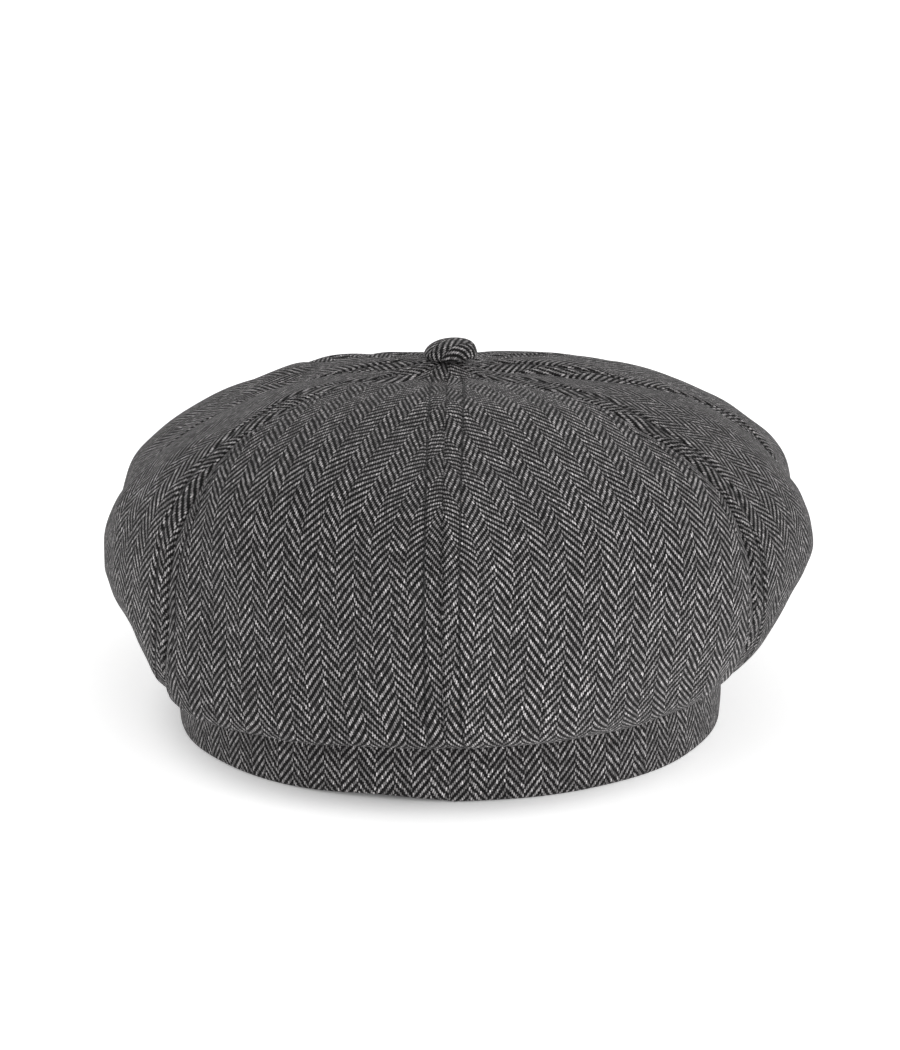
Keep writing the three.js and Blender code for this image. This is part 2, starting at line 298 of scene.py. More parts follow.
# Soft folds: angle, t, half-width across and along in mm, turn in degrees, depth.
FOLDS = [
    (318, 0.80, 9, 34, -28, 1.6),
    (335, 1.15, 13, 16, 0, 1.3),
    (30, 1.30, 12, 22, 15, 1.1),
    (52, 0.70, 10, 26, 35, 1.2),
    (300, 1.45, 9, 20, 20, 1.8),
    (62, 1.50, 9, 20, -25, 1.6),
    (98, 1.20, 14, 22, 10, 2.2),
    (255, 1.25, 14, 22, -15, 2.0),
    (140, 0.90, 12, 30, 20, 1.8),
    (215, 0.85, 12, 30, -20, 1.8),
    (178, 1.20, 16, 16, 0, 1.5),
]


def fold_relief(points):
    """Depth of the soft folds and dents that handling leaves in the crown."""
    depth = np.zeros(points.shape[:-1])
    for angle, t, across, along, turn, deep in FOLDS:
        centre = crown_base(np.array([[angle]]), np.array([[t]]))[0, 0]
        near = crown_base(np.array([[angle]]), np.array([[t + 0.02]]))[0, 0]
        down = unit(near - centre)
        sideways = unit(np.cross(down, [0, 0, 1.0]))
        tilt = math.radians(turn)
        long_axis = down * math.cos(tilt) + sideways * math.sin(tilt)
        short_axis = sideways * math.cos(tilt) - down * math.sin(tilt)
        away = points - centre
        shape = (away @ long_axis / along) ** 2 + (away @ short_axis / across) ** 2
        depth += deep * np.exp(-shape - (away @ sideways / FOLD_REACH) ** 2)
    return depth


def crown_panel_surface(number):
    """Outer face of a crown panel as a grid: its points, the same before seams and folds, each point's
    distance to the two seams, and the ring that each row lies on."""
    x = np.linspace(0, 1, PANEL_COLUMNS + 1)
    across = mix(x, 0.5 - 0.5 * np.cos(math.pi * x), 0.75)
    angles = (number + across) * PANEL_ANGLE
    t = even_rows(angles, 2.0, APEX_HOLE, PANEL_ROWS + 1)
    angles = np.broadcast_to(angles, t.shape)
    base = crown_base(angles, t)
    normals = normals_of(base)
    from_left = lengths_along(base, 1)
    width = from_left[:, -1:]
    from_right = width - from_left
    depths = around_seams(SEAM_DEPTH, angles)
    sink = seam_relief(from_left, depths, width) + seam_relief(from_right, depths, width)
    free = smooth(lengths_along(base, 0) / RIM_CALM)
    sink = sink * mix(0.25, 1, free)
    sink += fold_relief(base) * free
    sink += DRAPE_DEPTH * soft_waves(base, 5, 38, 95) * free
    sink += DENT_DEPTH * soft_waves(base, 6, 9, 22) * mix(0.5, 1, free)
    points = base - normals * sink[..., None]
    return points, base, from_left, from_right, t[:, PANEL_COLUMNS // 2]


# -------------------- meshes


def add_object(name, points, faces, material, uv=None, nodes=()):
    """A mesh object from points in millimetres, riding on the cap's one body."""
    mesh = bpy.data.meshes.new(name)
    mesh.from_pydata((np.asarray(points) * MM).tolist(), [], faces)
    mesh.shade_smooth()
    mesh.materials.append(material)
    if uv is not None:
        layer = mesh.uv_layers.new(name="weave")
        corners = np.zeros(len(mesh.loops), int)
        mesh.loops.foreach_get("vertex_index", corners)
        layer.data.foreach_set("uv", np.asarray(uv, np.float32)[corners].ravel())
    piece = bpy.data.objects.new(name, mesh)
    bpy.context.scene.collection.objects.link(piece)
    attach(piece, BODY)
    if nodes:
        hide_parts(*nodes)
    return piece


def border_of(rows, columns):
    """Grid indices of the border, anticlockwise from the first corner."""
    bottom = [(0, c) for c in range(columns - 1)]
    right = [(r, columns - 1) for r in range(rows - 1)]
    top = [(rows - 1, c) for c in range(columns - 1, 0, -1)]
    left = [(r, 0) for r in range(rows - 1, 0, -1)]
    return np.array(bottom + right + top + left)


def at(grid, places):
    """The values of a grid at a list of its places."""
    return grid[places[:, 0], places[:, 1]]


def sheet_mesh(outer, uv, thickness, steps=5):
    """A closed sheet of cloth with half-round edges, from its outer face: points, faces, weave places."""
    rows, columns = outer.shape[:2]
    normals = normals_of(outer)
    inner = outer - normals * thickness
    border = border_of(rows, columns)
    inside = np.stack([np.clip(border[:, 0], 1, rows - 2), np.clip(border[:, 1], 1, columns - 2)], axis=1)
    edge = at(outer, border)
    edge_normal = at(normals, border)
    edge_uv = at(uv, border)
    step = edge - at(outer, inside)
    outward = unit(step)
    uv_step = (edge_uv - at(uv, inside)) / np.linalg.norm(step, axis=-1, keepdims=True)
    half = thickness / 2
    points = [outer.reshape(-1, 3), inner.reshape(-1, 3)]
    places = [uv.reshape(-1, 2), uv.reshape(-1, 2)]
    for k in range(1, steps):
        turn = math.pi * k / steps
        points.append(edge - edge_normal * half * (1 - math.cos(turn)) + outward * half * math.sin(turn))
        places.append(edge_uv + uv_step * half * turn)
    grid = np.arange(rows * columns).reshape(rows, columns)
    corners = (grid[:-1, :-1], grid[:-1, 1:], grid[1:, 1:], grid[1:, :-1])
    outer_faces = np.stack([c.ravel() for c in corners], axis=1)
    inner_faces = outer_faces[:, ::-1] + rows * columns
    loop = at(grid, border)
    rings = [loop]
    rings += [2 * rows * columns + k * len(loop) + np.arange(len(loop)) for k in range(steps - 1)]
    rings.append(loop + rows * columns)
    rim = []
    for near, far in zip(rings[:-1], rings[1:]):
        rim.append(np.stack([np.roll(near, -1), near, far, np.roll(far, -1)], axis=1))
    faces = np.concatenate([outer_faces, inner_faces, *rim]).tolist()
    return np.concatenate(points), faces, np.concatenate(places)


def mark_panel(piece, distance, painted_nap_shade):
    """Stores how near a seam each point of a panel's outer face is, and the painted shade that lightens or
    darkens the whole panel for its nap.
    """
    count = len(piece.data.vertices)
    nearness = np.zeros(count, np.float32)
    nearness[: distance.size] = np.clip(SEAM_REACH - distance, 0, SEAM_REACH).ravel()
    for name, values in (("nearness", nearness), ("painted_nap_shade", np.full(count, painted_nap_shade, np.float32))):
        piece.data.attributes.new(name, "FLOAT", "POINT").data.foreach_set("value", values)


def add_sheet(name, outer, uv, thickness, material, nodes=()):
    points, faces, places = sheet_mesh(outer, uv, thickness)
    return add_object(name, points, faces, material, places, nodes)


def lay_cloth(points, grain_column):
    """Weave places in mm: the grain follows one column and is carried sideways without turning."""
    normals = normals_of(points)
    rows, columns = points.shape[:2]
    places = np.zeros((rows, columns, 2))
    spine = points[:, grain_column]
    places[:, grain_column, 1] = lengths_along(spine[:, None], 0)[:, 0]
    for side in (1, -1):
        grain = unit(np.gradient(spine, axis=0))
        column = grain_column
        while 0 <= column + side < columns:
            normal = normals[:, column + side]
            grain = unit(grain - normal * np.sum(grain * normal, axis=1, keepdims=True))
            cross = np.cross(grain, normal)
            step = points[:, column + side] - points[:, column]
            places[:, column + side, 0] = places[:, column, 0] + np.sum(step * cross, axis=1)
            places[:, column + side, 1] = places[:, column, 1] + np.sum(step * grain, axis=1)
            column += side
    return places


def point_at_distance(points, distances, wanted):
    """The point of each row that is a wanted distance along it."""
    found = []
    for row, distance in zip(points, distances):
        order = np.argsort(distance)
        found.append([np.interp(wanted, distance[order], row[order, axis]) for axis in range(3)])
    return np.array(found)


def stitch_row(path, outward, length=STITCH_LENGTH, pitch=STITCH_PITCH, radius=STITCH_RADIUS, sink=0.28):
    """Separate stitches along a path: short threads that dive into the cloth at both ends."""
    sides, sections = 6, 7
    distance = lengths_along(path[:, None], 0)[:, 0]
    points, faces = [], []
    for number in range(int(distance[-1] / pitch)):
        part = np.linspace(0, 1, sections)
        reached = (number + 0.5) * pitch + (part - 0.5) * length
        centre = np.stack([np.interp(reached, distance, path[:, axis]) for axis in range(3)], axis=1)
        up = unit(np.stack([np.interp(reached, distance, outward[:, axis]) for axis in range(3)], axis=1))
        ahead = unit(np.gradient(centre, axis=0))
        side = unit(np.cross(ahead, up))
        centre = centre + up * (radius * 0.5 - sink * np.abs(2 * part - 1)[:, None] ** 3)
        thick = radius * np.sqrt(1.02 - np.abs(2 * part - 1) ** 4)
        start = len(points) * sides * sections
        turns = np.arange(sides) * 2 * math.pi / sides
        ring = side[:, None] * np.cos(turns)[None, :, None] + up[:, None] * np.sin(turns)[None, :, None]
        points.append((centre[:, None] + ring * thick[:, None, None]).reshape(-1, 3))
        for s in range(sections - 1):
            for k in range(sides):
                a = start + s * sides + k
                b = start + s * sides + (k + 1) % sides
                faces.append([a, b, b + sides, a + sides])
        faces.append([start + k for k in reversed(range(sides))])
        faces.append([start + (sections - 1) * sides + k for k in range(sides)])
    return np.concatenate(points), faces


def add_stitches(name, *rows):
    """Rows of stitches as one piece of thread."""
    points, faces, start = [], [], 0
    for row_points, row_faces in rows:
        points.append(row_points)
        faces += [[index + start for index in face] for face in row_faces]
        start += len(row_points)
    add_object(name, np.concatenate(points), faces, THREAD)


# -------------------- materials


class Value:
    """A number at each point of a surface. Arithmetic on it adds math nodes to its material."""

    def __init__(self, shader, socket):
        self.shader = shader
        self.socket = socket

    def maths(self, operation, *others):
        node = self.shader.nodes.new("ShaderNodeMath")
        node.operation = operation
        for socket, value in zip(node.inputs, (self, *others)):
            self.shader.plug(value, socket)
        return Value(self.shader, node.outputs[0])

    __add__ = partialmethod(maths, "ADD")
    __sub__ = partialmethod(maths, "SUBTRACT")
    __mul__ = partialmethod(maths, "MULTIPLY")
    __truediv__ = partialmethod(maths, "DIVIDE")
    __lt__ = partialmethod(maths, "LESS_THAN")
    __gt__ = partialmethod(maths, "GREATER_THAN")
    __pow__ = partialmethod(maths, "POWER")
    floor = partialmethod(maths, "FLOOR")
    fraction = partialmethod(maths, "FRACT")
    wrap = partialmethod(maths, "FLOORED_MODULO")
    at_least = partialmethod(maths, "MAXIMUM")

    def distance_from(self, middle):
        return (self - middle).maths("ABSOLUTE")

    def clamped(self):
        return Value(self.shader, self.shader.node("ShaderNodeClamp", Value=self).outputs[0])

    def steps(self, low, high):
        """0 below low, 1 above high, and a soft step between."""
        node = self.shader.node("ShaderNodeMapRange", Value=self, From_Min=low, From_Max=high)
        node.interpolation_type = "SMOOTHSTEP"
        return Value(self.shader, node.outputs[0])

    def blend(self, low, high):
        """low where this is 0, high where it is 1."""
        node = self.shader.node("ShaderNodeMix", Factor=self, A=low, B=high)
        return Value(self.shader, node.outputs["Result"])


class Shader:
    """One node material, built from short calls."""

    def __init__(self, name):
        self.material = bpy.data.materials.new(name)
        self.material.use_nodes = True
        self.nodes = self.material.node_tree.nodes
        self.links = self.material.node_tree.links
        self.nodes.clear()

    def plug(self, value, socket):
        if isinstance(value, Value):
            value = value.socket
        if isinstance(value, bpy.types.NodeSocket):
            self.links.new(value, socket)
        else:
            socket.default_value = value

    def node(self, kind, **inputs):
        made = self.nodes.new(kind)
        for name, value in inputs.items():
            self.plug(value, made.inputs[name.replace("_", " ")])
        return made

    def weave_place(self):
        """Distance across and along the cloth, in millimetres."""
        node = self.nodes.new("ShaderNodeUVMap")
        node.uv_map = "weave"
        split = self.node("ShaderNodeSeparateXYZ", Vector=node.outputs[0])
        return Value(self, split.outputs[0]), Value(self, split.outputs[1])

    def attribute(self, name):
        node = self.nodes.new("ShaderNodeAttribute")
        node.attribute_name = name
        return Value(self, node.outputs["Fac"])

    def object_place(self):
        """Place in the frame, in millimetres."""
        return self.scaled(1 / MM, self.nodes.new("ShaderNodeTexCoord").outputs["Object"])

    def vector(self, x, y, z=0.0):
        return self.node("ShaderNodeCombineXYZ", X=x, Y=y, Z=z).outputs[0]

    def noise(self, place, scale=1.0, detail=2.0, roughness=0.5):
        settings = {"Scale": scale, "Detail": detail, "Roughness": roughness}
        return Value(self, self.node("ShaderNodeTexNoise", Vector=place, **settings).outputs["Fac"])

    def random(self, x, y, z=0.0):
        """A different number from 0 to 1 for each whole-numbered place."""
        node = self.node("ShaderNodeTexWhiteNoise", Vector=self.vector(x, y, z))
        return Value(self, node.outputs["Value"])

    def scaled(self, factor, vector):
        """A colour or a place times a number."""
        node = self.nodes.new("ShaderNodeVectorMath")
        node.operation = "SCALE"
        self.plug(vector, node.inputs[0])
        self.plug(factor, node.inputs["Scale"])
        return node.outputs[0]

    def bump(self, height, distance, strength=1.0):
        return self.node("ShaderNodeBump", Height=height, Distance=distance, Strength=strength).outputs[0]

    def finish(self, colour, roughness, **others):
        """Closes the material with one Principled shader."""
        shader = self.node("ShaderNodeBsdfPrincipled", Base_Color=colour, Roughness=roughness, **others)
        self.node("ShaderNodeOutputMaterial", Surface=shader.outputs[0])
        return self.material

    def finish_shaded(self, shade, colour, roughness, height, relief, **others):
        """The same from a colour times a shade, with bumps of so many millimetres."""
        normal = self.bump(height, relief * MM)
        return self.finish(self.scaled(shade, colour), roughness, Normal=normal, **others)


def yarn_round(across):
    """Height of a round yarn over its width, 0 to 1."""
    off = across.distance_from(0.5) * 2
    return (off * off * -1 + 1.0).at_least(0.0) ** 0.5


def float_arch(along):
    """Height of a yarn over the length of one float, where it dives at both ends."""
    off = along.distance_from(0.5) * 2
    return (off ** 4 * -1 + 1.0).at_least(0.0)


WARP_LIGHT = 0.455
WEFT_DARK = 0.010
FUZZ_GREY = 0.042
# Half-width, in mm, of the painted shade and the sunk bump along a seam or a stitched line.
CREASE_HALF_WIDTH = 0.6
GREY_TINT = (1.03, 0.99, 0.997)
SPECK_TINT = (1.25, 1.02, 0.88)


def tweed_material():
    """Herringbone tweed: light warp, dark weft, 2/2 twill turned round every ten ends, loose fibres."""
    cloth = Shader("herringbone_tweed")
    u, v = cloth.weave_place()
    place = cloth.vector(u, v)
    # The yarns wander a little, and their hairy edges are ragged.
    slow = cloth.noise(place, 0.07, 1.0)
    slower = cloth.noise(cloth.vector(v, u, 7.0), 0.05, 1.0)
    middling = cloth.noise(place, 0.55, 1.0)
    ragged = cloth.noise(place, 3.4)
    end = (u + (slow - 0.5) * 1.2 + (middling - 0.5) * 0.5 + (ragged - 0.5) * 0.62) / END_PITCH
    pick = (v + (slower - 0.5) * 2.0 + (middling - 0.5) * -0.9 + (ragged - 0.5) * -0.85) / PICK_PITCH
    end_number = end.floor()
    pick_number = pick.floor()
    turned = (end_number / ENDS_PER_COLUMN).floor().wrap(2.0)
    direction = turned * -2.0 + 1.0
    step = (pick_number + direction * end_number + turned).wrap(4.0)
    warp_on_top = step < 2.0
    # Each yarn's own shape and tone, and painted shade where it rounds down.
    warp_along = (step + pick.fraction()) / 2.0
    weft_along = (step - 2.0 + turned + direction * end.fraction()) / 2.0
    warp_height = yarn_round(end.fraction()) * float_arch(warp_along)
    weft_height = yarn_round(pick.fraction()) * float_arch(weft_along) * 0.85
    warp_twist = cloth.noise(cloth.vector(u * 2.6, v * 1.5), 1.0, 3.0, 0.65)
    weft_twist = cloth.noise(cloth.vector(u * 2.0, v * 5.0))
    slub = cloth.noise(cloth.vector(end_number * 7.3, v * 0.12), 1.0, 1.0)
    per_float = cloth.random(end_number, ((pick_number - step) / 4.0).floor(), 3.0)
    warp_shade = (per_float ** 2 * 1.1 + 0.5) * (slub * 1.0 + 0.5) * (warp_twist * 2.4 - 0.2) * WARP_LIGHT
    weft_shade = (cloth.random(pick_number, 5.0) * 0.6 + 0.7) * (weft_twist * 1.2 + 0.4) * WEFT_DARK
    height = warp_on_top.blend(weft_height, warp_height)
    # Painted shade: a yarn's colour darkens towards its edges and ends, where it rounds down under its
    # neighbours.
    shade = warp_on_top.blend(weft_shade, warp_shade) * (height ** 1.5 * 0.9 + 0.1)
    # Loose fibres veil the weave in patches.
    veil = cloth.noise(place, 0.45, 3.0, 0.6).steps(0.38, 0.74) * 0.30 + 0.05
    haze = cloth.noise(place, 2.6, 3.0, 0.7) * 1.1 + 0.45
    shade = veil.blend(shade, haze * FUZZ_GREY)
    broad = (cloth.noise(place, 0.03) * 0.22 + 0.89) * (cloth.noise(place, 1.9, 2.0, 0.7) * 1.9 + 0.05)
    # Painted shade: the cloth's colour is darkened down in the seams and where the topstitching pulls it
    # in, where shade falls. The same mask sinks the bump there.
    distance = cloth.attribute("nearness") * -1.0 + SEAM_REACH
    seam = (distance / -CREASE_HALF_WIDTH + 1.0).clamped()
    stitched = (distance.distance_from(STITCH_OFFSET) / -CREASE_HALF_WIDTH + 1.0).clamped()
    marked = cloth.attribute("nearness") > 0.01
    crease_relief_and_painted_shade = (seam * 0.6).at_least(stitched) * marked
    # Painted shade: each panel's colour is made lighter or darker as a whole, for how the light catches its
    # nap.
    shade = shade * broad * (cloth.attribute("painted_nap_shade") + 1.0) * (crease_relief_and_painted_shade * -0.85 + 1.0)
    warm = cloth.noise(cloth.vector(u, v, 31.0), 1.7, 1.0).steps(0.72, 0.80)
    colour = cloth.vector(*(warm.blend(grey, speck) for grey, speck in zip(GREY_TINT, SPECK_TINT)))
    relief = height + (haze - 1.0) * 0.35 - crease_relief_and_painted_shade * 1.5
    return cloth.finish(
        cloth.scaled(shade, colour), height * -0.12 + 0.95, Normal=cloth.bump(relief, 0.22 * MM, 0.8),
        Specular_IOR_Level=0.12, Sheen_Weight=0.09, Sheen_Roughness=0.35, Sheen_Tint=(0.85, 0.84, 0.85, 1),
    )


def thread_material():
    """Twisted sewing thread, nearly black."""
    thread = Shader("sewing_thread")
    twist = thread.noise(thread.object_place(), 3.5)
    return thread.finish_shaded(
        twist * 0.8 + 0.5, (0.022, 0.021, 0.022), 0.75, twist, 0.05,
        Specular_IOR_Level=0.3, Sheen_Weight=0.2,
    )


def twill_material(name, colour, pitch, roughness, sheen):
    """A smooth twill, as linings are: fine steep lines and a soft shine."""
    cloth = Shader(name)
    u, v = cloth.weave_place()
    line = ((u + v * 0.6) / pitch).fraction()
    pick = (v / (pitch * 0.7)).fraction()
    height = yarn_round(line) * (yarn_round(pick) * 0.4 + 0.6)
    uneven = cloth.noise(cloth.vector(u, v), 0.08, 3.0)
    # Painted shade: the colour darkens where the lines dip between each other. The noise is uneven tone.
    shade = (height * 0.6 + 0.5) * (uneven * 0.5 + 0.75)
    return cloth.finish_shaded(
        shade, colour, uneven * 0.15 + roughness, height + uneven * 2.0, 0.08,
        Specular_IOR_Level=0.4, Sheen_Weight=sheen, Sheen_Roughness=0.4,
    )


def grosgrain_material(name, colour, rib):
    """Grosgrain: firm ribs across the ribbon, each with its fine warp ends."""
    cloth = Shader(name)
    u, v = cloth.weave_place()
    ribs = yarn_round((u / rib).fraction())
    ends = yarn_round((v / (rib * 0.45)).fraction())
    height = ribs * (ends * 0.3 + 0.7)
    worn = cloth.noise(cloth.vector(u, v), 0.06, 3.0)
    # Painted shade: the colour darkens between the ribs and ends. The noise is wear.
    shade = (height * 0.7 + 0.4) * (worn * 0.6 + 0.7)
    return cloth.finish_shaded(
        shade, colour, worn * 0.2 + 0.6, height, 0.15, Specular_IOR_Level=0.35, Sheen_Weight=0.15,
    )


def plain_weave_material(name, colour, pitch):
    """Plain weave: every other crossing on top, as in tapes, labels and interfacing."""
    cloth = Shader(name)
    u, v = cloth.weave_place()
    end = u / pitch
    pick = v / pitch
    over = (end.floor() + pick.floor()).wrap(2.0)
    height = over.blend(yarn_round(end.fraction()), yarn_round(pick.fraction()))
    soiled = cloth.noise(cloth.vector(u, v), 0.15, 3.0)
    # Painted shade: the colour darkens where the yarns dip between crossings. The noise is soiling.
    shade = (height * 0.35 + 0.68) * (soiled * 0.25 + 0.88)
    return cloth.finish_shaded(
        shade, colour, soiled * 0.1 + 0.82, height, 0.1, Specular_IOR_Level=0.3, Sheen_Weight=0.15,
    )


def moulded_material():
    """Semi-stiff plastic board with a fine matt grain."""
    board = Shader("visor_board_plastic")
    grain = board.noise(board.object_place(), 2.0, 3.0)
    return board.finish_shaded(grain * 0.3 + 0.85, (0.02, 0.02, 0.022), grain * 0.2 + 0.5, grain, 0.05)


def plated_material():
    """Plated steel of the button's blank, with fine turning marks and dull patches."""
    metal = Shader("plated_steel")
    place = metal.object_place()
    dull = metal.noise(place, 0.6, 3.0)
    marks = metal.noise(place, 9.0, 1.0)
    return metal.finish_shaded(
        dull * 0.3 + 0.8, (0.45, 0.46, 0.47), dull * 0.25 + 0.22, marks, 0.01, Metallic=1.0,
    )


TWEED = tweed_material()
THREAD = thread_material()
LINING = twill_material("lining_twill", (0.022, 0.022, 0.026), 0.35, 0.38, 0.1)
SWEATBAND = grosgrain_material("sweatband_grosgrain", (0.02, 0.02, 0.022), 0.9)
TAPE = plain_weave_material("joining_tape_weave", (0.018, 0.018, 0.02), 0.5)
LABEL = plain_weave_material("label_weave", (0.46, 0.44, 0.40), 0.28)
INTERFACING = plain_weave_material("interfacing_weave", (0.66, 0.64, 0.59), 0.6)
BOARD = moulded_material()
STEEL = plated_material()


# -------------------- crown


def crown_weave(number, base, rings):
    """Weave places of a panel. Neighbouring panels mirror each other about their seam.

    Above the shoulder the grain follows the panel's middle. Below it the cloth hangs straight: it is
    measured out from the middle, or from the centre-back seam so that the columns meet the band's.
    """
    mirrored = number % 2 == 1
    at_back = number in (0, PANELS - 1)
    first = PANEL_COLUMNS * mirrored
    start = first if at_back else PANEL_COLUMNS // 2
    places = lay_cloth(base, PANEL_COLUMNS // 2)
    across = lengths_along(base, 1)
    across = across - across[:, start : start + 1]
    if mirrored:
        across = -across
        places[..., 0] *= -1
    widest = int(np.argmin(np.abs(rings - 1)))
    shoulder = int(np.argmin(np.abs(rings - HANGS_FROM)))
    eased = ramp(rings[:, None], *BACK_EASES) * np.clip(1 - across / BACK_EASED_WIDTH, 0, 1)
    across = across - BACK_SEAM_CUT * (1 - eased) * at_back
    along = lengths_along(base, 0)
    hanging = np.stack([across, places[widest, :, 1] + along - along[widest]], axis=-1)
    places[..., 0] += across[shoulder, start] - places[shoulder, start, 0]
    places = mix(places, hanging, ramp(rings, *HANGS_BETWEEN)[:, None, None])
    places[..., 0] -= places[0, first, 0]
    places[..., 0] += PANEL_REPEATS * number * REPEAT_ACROSS
    return places


def stitch_lines(points, from_left, from_right):
    """The two topstitched lines of a panel with their outward directions, where it is wide enough."""
    normals = normals_of(points)
    wide = (from_left[:, -1] > STITCHED_WIDTH) & (np.arange(len(points)) > 3)
    for distances in (from_left, from_right):
        path = point_at_distance(points[wide], distances[wide], STITCH_OFFSET)
        outward = point_at_distance(normals[wide], distances[wide], STITCH_OFFSET)
        yield path, unit(outward)


def build_crown():
    for number, place in enumerate(PANEL_NAMES):
        points, base, from_left, from_right, rings = crown_panel_surface(number)
        name = f"crown_panel_{place}"
        weave = crown_weave(number, base, rings)
        panel = add_sheet(f"tweed_{name}", points, weave, CROWN_CLOTH, TWEED, [name])
        # Narrow parts of a panel count as further from its seams, so less painted shade falls there.
        narrow = 1 - ramp(from_left[:, -1:], *SEAM_FADES)
        mark_panel(panel, np.minimum(from_left, from_right) + narrow, PANEL_PAINTED_NAP_SHADE[number])
        lines = stitch_lines(points, from_left, from_right)
        add_stitches(f"topstitching_{place}", *(stitch_row(*line) for line in lines))


# -------------------- headband


def build_headband():
    """The tweed band: an open ring whose ends meet at the centre back, with rolled edges."""
    gap = math.degrees(BAND_GAP / BAND_HALF_LENGTH)
    angles = np.linspace(gap, 360 - gap, BAND_COLUMNS + 1)
    level = np.linspace(0, 1, BAND_ROWS + 1)[:, None]
    edge = BAND_THICKNESS / 2
    belly = BAND_BELLY * np.sin(level * math.pi)
    waver = 0.25 * np.sin(np.radians(angles * 7)) + 0.2 * np.sin(np.radians(angles * 13 + 40))
    raised = BAND_LIFTED_BY * np.exp(-(((angles - BAND_LIFTED_AT) / BAND_LIFTED_WIDTH) ** 2))
    height = mix(edge, BAND_HEIGHT - BAND_TOP_GAP, level) + (waver * 0.5 + raised) * (1 - level)
    inset = 0.2 - belly + 0.15 * waver
    outer = band_point(angles[None, :], inset, height)
    around = lengths_along(outer[:1], 1)[0]
    repeats = round(around[-1] / BAND_STRETCH / REPEAT_ACROSS)
    across = around * repeats * REPEAT_ACROSS / around[-1]
    down = BAND_HEIGHT - np.broadcast_to(height, outer.shape[:2])
    uv = np.stack([np.broadcast_to(across, outer.shape[:2]), down], axis=-1)
    add_sheet("tweed_headband", outer, uv, BAND_THICKNESS, TWEED, ["headband"])


# -------------------- lining, sweatband and labels

LINING_DEPTH = 6.8
LINING_SLACK = 1.2
LINING_HOLE = 0.6
LINING_RIM_DEPTH = 2.1
LINING_RIM_RING = 1.98
LINING_SEAM = 0.002  # half the gap at a seam, as a part of a panel's width
LINING_CLOTH = 0.6
LABEL_SPAN = (5.0, 40.0)  # degrees
LABEL_REACH = (0.56, 0.36)  # rings
LABEL_CLOTH = 0.45
LABEL_OFF_LINING = 0.9
SWEATBAND_THICKNESS = 1.0
SWEATBAND_HEIGHT = 30.0
SWEATBAND_RIPPLE = 0.25
RIBBON_GAP = 0.35  # between the sweatband and the ribbons on it
RIBBON_LIFT = 0.5  # of their corners
SIZE_TAB_WIDTH = 13
INTERFACING_CLOTH = 0.7
INTERFACING_LOW = 3.2
INTERFACING_HIGH = 16.8


def lining_surface(angles, t, extra=0.0):
    """Outer face of the lining, which follows the crown loosely from the inside."""
    base = crown_base(angles, t, puff=0.0)
    normals = normals_of(base)
    rim = smooth(t - 1)
    slack = (LINING_SLACK + soft_waves(base, 9, 30, 70)) * (1 - rim)
    sink = fold_relief(base) * (1 - rim) + slack + mix(LINING_DEPTH, LINING_RIM_DEPTH, rim) + extra
    return base - normals * sink[..., None]


def build_lining():
    for number, place in enumerate(PANEL_NAMES):
        across = np.linspace(LINING_SEAM, 1 - LINING_SEAM, 25)
        angles = (number + across) * PANEL_ANGLE
        t = even_rows(angles, LINING_RIM_RING, LINING_HOLE, 61)
        angles = np.broadcast_to(angles, t.shape)
        outer = lining_surface(angles, t)
        name = f"lining_panel_{place}"
        add_sheet(f"twill_{name}", outer, lay_cloth(outer, 12), LINING_CLOTH, LINING, [name])


def build_label():
    """A blank woven label on the lining, sewn down all round."""
    angles = np.linspace(*LABEL_SPAN, 41)
    t = np.broadcast_to(np.linspace(*LABEL_REACH, 25)[:, None], (25, 41))
    outer = lining_surface(np.broadcast_to(angles, t.shape), t, LINING_CLOTH + LABEL_OFF_LINING)
    weave = lay_cloth(outer, 20)
    add_sheet("woven_label", outer, weave, LABEL_CLOTH, LABEL, ["maker_label_blank"])
    inward = -normals_of(outer)
    inner = outer + inward * LABEL_CLOTH
    border = border_of(*inner[2:-2, 2:-2].shape[:2]) + 2
    row = stitch_row(at(inner, border), at(inward, border), 1.8, 2.3, 0.14, 0.2)
    add_stitches("label_stitching", row)


def ring_grid(inset, low, high, rows, columns=361, gap=0.2):
    """A ring of the band's oval, open by a small gap at the centre back, with its weave places."""
    gap = math.degrees(gap / BAND_HALF_LENGTH)
    angles = np.linspace(gap, 360 - gap, columns)
    level = np.linspace(low, high, rows)[:, None]
    outer = band_point(angles[None, :], inset, level)
    around = lengths_along(outer[:1], 1)
    uv = np.stack(np.broadcast_arrays(around, level), axis=-1)
    return outer, uv


def build_interfacing():
    """The stiffener between headband and sweatband. Its edges stay inside, out of sight."""
    inset = BAND_HALF_WIDTH - box_mm("headband_interfacing")[1][0] + 0.1
    outer, uv = ring_grid(inset, INTERFACING_LOW, INTERFACING_HIGH, 9)
    replaced = ["headband_interfacing"]
    add_sheet("woven_interfacing", outer, uv, INTERFACING_CLOTH, INTERFACING, replaced)


def build_sweatband():
    inset = BAND_HALF_WIDTH - sweat_high[0]
    edge = SWEATBAND_THICKNESS / 2
    low = sweat_low[2] + edge
    outer, uv = ring_grid(inset, low, low + SWEATBAND_HEIGHT - 2 * edge, 25)
    ripple = SWEATBAND_RIPPLE * soft_waves(outer, 12, 25, 60)
    outer = outer + normals_of(outer) * ripple[..., None]
    add_sheet("grosgrain_sweatband", outer, uv, SWEATBAND_THICKNESS, SWEATBAND, ["sweatband"])
    inward = -normals_of(outer)
    inner = outer + inward * SWEATBAND_THICKNESS
    rows = [stitch_row(inner[k], inward[k], length=2.2, pitch=2.8, radius=0.16) for k in (3, 5)]
    add_stitches("sweatband_stitching", *rows)
    return inset + SWEATBAND_THICKNESS


